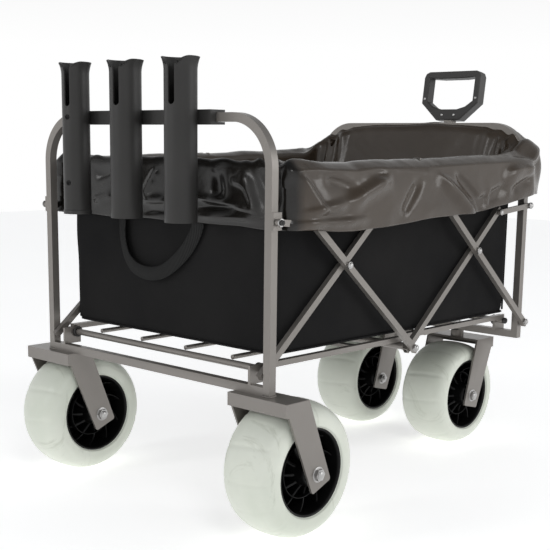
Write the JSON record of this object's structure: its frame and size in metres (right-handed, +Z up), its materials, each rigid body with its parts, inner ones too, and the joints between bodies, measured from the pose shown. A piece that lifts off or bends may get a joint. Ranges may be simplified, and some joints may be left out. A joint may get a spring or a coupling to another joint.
{
  "type": "folding beach cart",
  "caption": "Folding beach cart with balloon wheels, a scissor-bar frame, a soft tub with a film liner, a rack of rod holders and a telescopic pull handle.",
  "frame": {"origin": "on the ground, under the middle of the cart's bounding box", "axes": "+X towards the pull handle (front), +Y to the cart's left side, +Z up"},
  "size_m": [0.852, 0.6054, 0.6916],
  "materials": {
    "frame_paint": "satin champagne grey powder coat",
    "zinc_steel": "zinc plated",
    "tyre_foam": "matte pale grey-green balloon tyre",
    "hub_plastic": "gloss black moulded",
    "rack_plastic": "satin charcoal moulded",
    "tub_fabric": "matte black woven polyester",
    "liner_film": "glossy black-brown coated film",
    "webbing": "black woven webbing",
    "grip_plastic": "satin dark grey moulded"
  },
  "bodies": {
    "rear_frame": {"rear_hoop": "frame_paint", "rear_crossbar": "frame_paint", "rear_fork_right": "frame_paint", "rear_fork_left": "frame_paint", "rear_axle_bolts": "zinc_steel", "rear_pivot_bolts": "zinc_steel", "rear_link_brackets": "frame_paint", "rack_clamp": "rack_plastic", "rod_holder_right": "rack_plastic", "rod_holder_middle": "rack_plastic", "rod_holder_left": "rack_plastic", "rack_screws": "zinc_steel", "tub_rear_panel": "tub_fabric", "tub_sides_and_base": "tub_fabric", "liner": "liner_film", "carry_strap": "webbing"},
    "rear_long_bars": {"rear_long_bars": "frame_paint", "rear_bar_rivets": "zinc_steel"},
    "rear_short_bars": {"rear_short_bars": "frame_paint", "low_hub_pins": "zinc_steel", "middle_crossbar": "frame_paint"},
    "front_short_bars": {"front_short_bars": "frame_paint", "front_bar_rivets": "zinc_steel"},
    "front_long_bars": {"front_long_bars": "frame_paint"},
    "front_frame": {"front_hoop": "frame_paint", "front_crossbar": "frame_paint", "front_pivot_bolts": "zinc_steel", "tub_front_panel": "tub_fabric", "handle_pivot_bolt": "zinc_steel"},
    "rear_links": {"rear_links": "frame_paint"},
    "front_links": {"front_links": "frame_paint"},
    "floor_rear": {"floor_rails_rear": "frame_paint", "floor_cross_tubes_rear": "frame_paint", "floor_rods_rear": "frame_paint"},
    "floor_front": {"floor_rails_front": "frame_paint", "floor_cross_tubes_front": "frame_paint", "floor_rods_front": "frame_paint"},
    "caster_right": {"caster_fork_right": "frame_paint", "caster_axle_bolt_right": "zinc_steel", "caster_nut_right": "zinc_steel"},
    "caster_left": {"caster_fork_left": "frame_paint", "caster_axle_bolt_left": "zinc_steel", "caster_nut_left": "zinc_steel"},
    "handle_lower": {"handle_outer_tube": "frame_paint", "handle_collar": "grip_plastic"},
    "handle_upper": {"handle_inner_tube": "frame_paint", "handle_grip": "grip_plastic", "grip_screws": "zinc_steel"},
    "wheel_rear_right": {"tyre_rear_right": "tyre_foam", "hub_rear_right": "hub_plastic", "bearings_rear_right": "zinc_steel"},
    "wheel_rear_left": {"tyre_rear_left": "tyre_foam", "hub_rear_left": "hub_plastic", "bearings_rear_left": "zinc_steel"},
    "wheel_front_right": {"tyre_front_right": "tyre_foam", "hub_front_right": "hub_plastic", "bearings_front_right": "zinc_steel"},
    "wheel_front_left": {"tyre_front_left": "tyre_foam", "hub_front_left": "hub_plastic", "bearings_front_left": "zinc_steel"}
  },
  "joints": [
    {"name": "frame_fold", "type": "hinge", "parent": "rear_frame", "child": "rear_long_bars", "pos_m": [-0.3635, 0, 0.241], "axis": [0, -1, 0], "range_deg": [0, 29.7], "deforming": ["tub_sides_and_base", "liner"]},
    {"name": "rear_cross_pivot", "type": "hinge", "parent": "rear_long_bars", "child": "rear_short_bars", "pos_m": [-0.20026, 0, 0.37875], "axis": [0, -1, 0], "range_deg": [-59.41, 0]},
    {"name": "low_hub_pivot", "type": "hinge", "parent": "rear_short_bars", "child": "front_short_bars", "pos_m": [-0.0305, 0, 0.2355], "axis": [0, -1, 0], "range_deg": [0, 59.41]},
    {"name": "front_cross_pivot", "type": "hinge", "parent": "front_short_bars", "child": "front_long_bars", "pos_m": [0.13926, 0, 0.37875], "axis": [0, -1, 0], "range_deg": [-59.41, 0]},
    {"name": "front_post_pivot", "type": "hinge", "parent": "front_long_bars", "child": "front_frame", "pos_m": [0.3025, 0, 0.241], "axis": [0, -1, 0], "range_deg": [0, 29.7]},
    {"name": "rear_link_pivot", "type": "hinge", "parent": "rear_frame", "child": "rear_links", "pos_m": [-0.3635, 0, 0.448], "axis": [0, -1, 0], "range_deg": [0, 68.69]},
    {"name": "front_link_pivot", "type": "hinge", "parent": "front_frame", "child": "front_links", "pos_m": [0.3025, 0, 0.448], "axis": [0, -1, 0], "range_deg": [-68.69, 0]},
    {"name": "floor_rear_hinge", "type": "hinge", "parent": "rear_frame", "child": "floor_rear", "pos_m": [-0.3455, 0, 0.241], "axis": [0, -1, 0], "range_deg": [0, 65.22]},
    {"name": "floor_front_hinge", "type": "hinge", "parent": "front_frame", "child": "floor_front", "pos_m": [0.2845, 0, 0.241], "axis": [0, -1, 0], "range_deg": [-65.22, 0]},
    {"name": "wheel_rear_right_spin", "type": "hinge", "parent": "rear_frame", "child": "wheel_rear_right", "pos_m": [-0.3165, -0.24, 0.1], "axis": [0, 1, 0], "continuous": true},
    {"name": "wheel_rear_left_spin", "type": "hinge", "parent": "rear_frame", "child": "wheel_rear_left", "pos_m": [-0.3165, 0.24, 0.1], "axis": [0, 1, 0], "continuous": true},
    {"name": "caster_right_swivel", "type": "hinge", "parent": "front_frame", "child": "caster_right", "pos_m": [0.3025, -0.105, 0.198], "axis": [0, 0, 1], "continuous": true},
    {"name": "caster_left_swivel", "type": "hinge", "parent": "front_frame", "child": "caster_left", "pos_m": [0.3025, 0.105, 0.198], "axis": [0, 0, 1], "continuous": true},
    {"name": "wheel_front_right_spin", "type": "hinge", "parent": "caster_right", "child": "wheel_front_right", "pos_m": [0.2765, -0.105, 0.0945], "axis": [0, 1, 0], "continuous": true},
    {"name": "wheel_front_left_spin", "type": "hinge", "parent": "caster_left", "child": "wheel_front_left", "pos_m": [0.2765, 0.105, 0.0945], "axis": [0, 1, 0], "continuous": true},
    {"name": "handle_pivot", "type": "hinge", "parent": "front_frame", "child": "handle_lower", "pos_m": [0.3505, 0, 0.222], "axis": [0, 1, 0], "range_deg": [-4, 86]},
    {"name": "handle_slide", "type": "slide", "parent": "handle_lower", "child": "handle_upper", "axis": [0.1392, 0, 0.9903], "range_m": [0, 0.25]}
  ],
  "couplings": [
    {"joint": "rear_cross_pivot", "follows": "frame_fold", "ratio": -2},
    {"joint": "low_hub_pivot", "follows": "frame_fold", "ratio": 2},
    {"joint": "front_cross_pivot", "follows": "frame_fold", "ratio": -2},
    {"joint": "front_post_pivot", "follows": "frame_fold", "ratio": 1},
    {"joint": "rear_link_pivot", "follows": "frame_fold", "ratio": 2.3126},
    {"joint": "front_link_pivot", "follows": "frame_fold", "ratio": -2.3126},
    {"joint": "floor_rear_hinge", "follows": "frame_fold", "ratio": 2.1958},
    {"joint": "floor_front_hinge", "follows": "frame_fold", "ratio": -2.1958}
  ]
}
